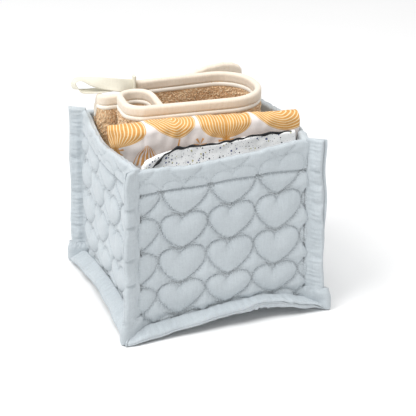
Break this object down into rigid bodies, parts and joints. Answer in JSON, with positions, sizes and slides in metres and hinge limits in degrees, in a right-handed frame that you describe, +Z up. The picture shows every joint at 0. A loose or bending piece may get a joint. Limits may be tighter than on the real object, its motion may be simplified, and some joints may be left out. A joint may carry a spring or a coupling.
{
  "type": "sewing basket",
  "caption": "Square soft storage basket with heart-quilted padded walls, stand-out corner seams and arched base edges, holding folded cloths that lift out.",
  "frame": {"origin": "centre of the square footprint, on the surface the basket stands on", "axes": "+Z up out of the open top, -Y out of the front wall, -X out of the left wall, on the side of the towel's tape loop"},
  "size_m": [0.2222, 0.2222, 0.2365],
  "materials": {
    "quilted_cotton": "matt plain-weave cotton, quilted in hearts",
    "wadding": "soft fibre wadding",
    "lining_cotton": "matt plain-weave cotton",
    "hem_cotton": "matt plain-weave cotton",
    "seam_cotton": "matt plain-weave cotton, puckered",
    "terry": "looped terry pile",
    "binding": "smooth bias binding",
    "piping": "smooth piping",
    "tape": "woven cotton tape",
    "printed_cotton": "soft printed cotton",
    "speckled_cotton": "soft flecked cotton",
    "black_thread": "matt stitched edging"
  },
  "bodies": {
    "basket": {"back_base_seam": "seam_cotton", "back_hem_facing": "hem_cotton", "back_left_corner_seam": "seam_cotton", "back_left_corner_tab": "seam_cotton", "back_lining": "lining_cotton", "back_outer_cloth": "quilted_cotton", "back_right_corner_seam": "seam_cotton", "back_right_corner_tab": "seam_cotton", "back_wadding": "wadding", "floor_lining": "lining_cotton", "floor_outer_cloth": "quilted_cotton", "floor_wadding": "wadding", "front_base_seam": "seam_cotton", "front_hem_facing": "hem_cotton", "front_left_corner_seam": "seam_cotton", "front_left_corner_tab": "seam_cotton", "front_lining": "lining_cotton", "front_outer_cloth": "quilted_cotton", "front_right_corner_seam": "seam_cotton", "front_right_corner_tab": "seam_cotton", "front_wadding": "wadding", "left_base_seam": "seam_cotton", "left_hem_facing": "hem_cotton", "left_lining": "lining_cotton", "left_outer_cloth": "quilted_cotton", "left_wadding": "wadding", "right_base_seam": "seam_cotton", "right_hem_facing": "hem_cotton", "right_lining": "lining_cotton", "right_outer_cloth": "quilted_cotton", "right_wadding": "wadding"},
    "terry_towel": {"towel_front_binding": "binding", "towel_front_piping": "piping", "towel_front_terry": "terry", "towel_rear_binding": "binding", "towel_rear_piping": "piping", "towel_rear_terry": "terry", "hanger_tab": "tape"},
    "hanging_loop": {"hanging_loop": "tape"},
    "printed_cloth": {"printed_cloth": "printed_cotton"},
    "speckled_cloth": {"speckled_cloth": "speckled_cotton", "speckled_cloth_edging": "black_thread"}
  },
  "joints": [
    {"name": "towel_lift", "type": "slide", "parent": "basket", "child": "terry_towel", "axis": [0, 0, 1], "range_m": [0, 0.215]},
    {"name": "printed_cloth_lift", "type": "slide", "parent": "basket", "child": "printed_cloth", "axis": [0, 0, 1], "range_m": [0, 0.215]},
    {"name": "speckled_cloth_lift", "type": "slide", "parent": "basket", "child": "speckled_cloth", "axis": [0, 0, 1], "range_m": [0, 0.215]},
    {"name": "tape_loop_swing", "type": "hinge", "parent": "terry_towel", "child": "hanging_loop", "pos_m": [-0.044, 0.066, 0.224], "axis": [0, 0, 1], "range_deg": [-40, 30]}
  ]
}
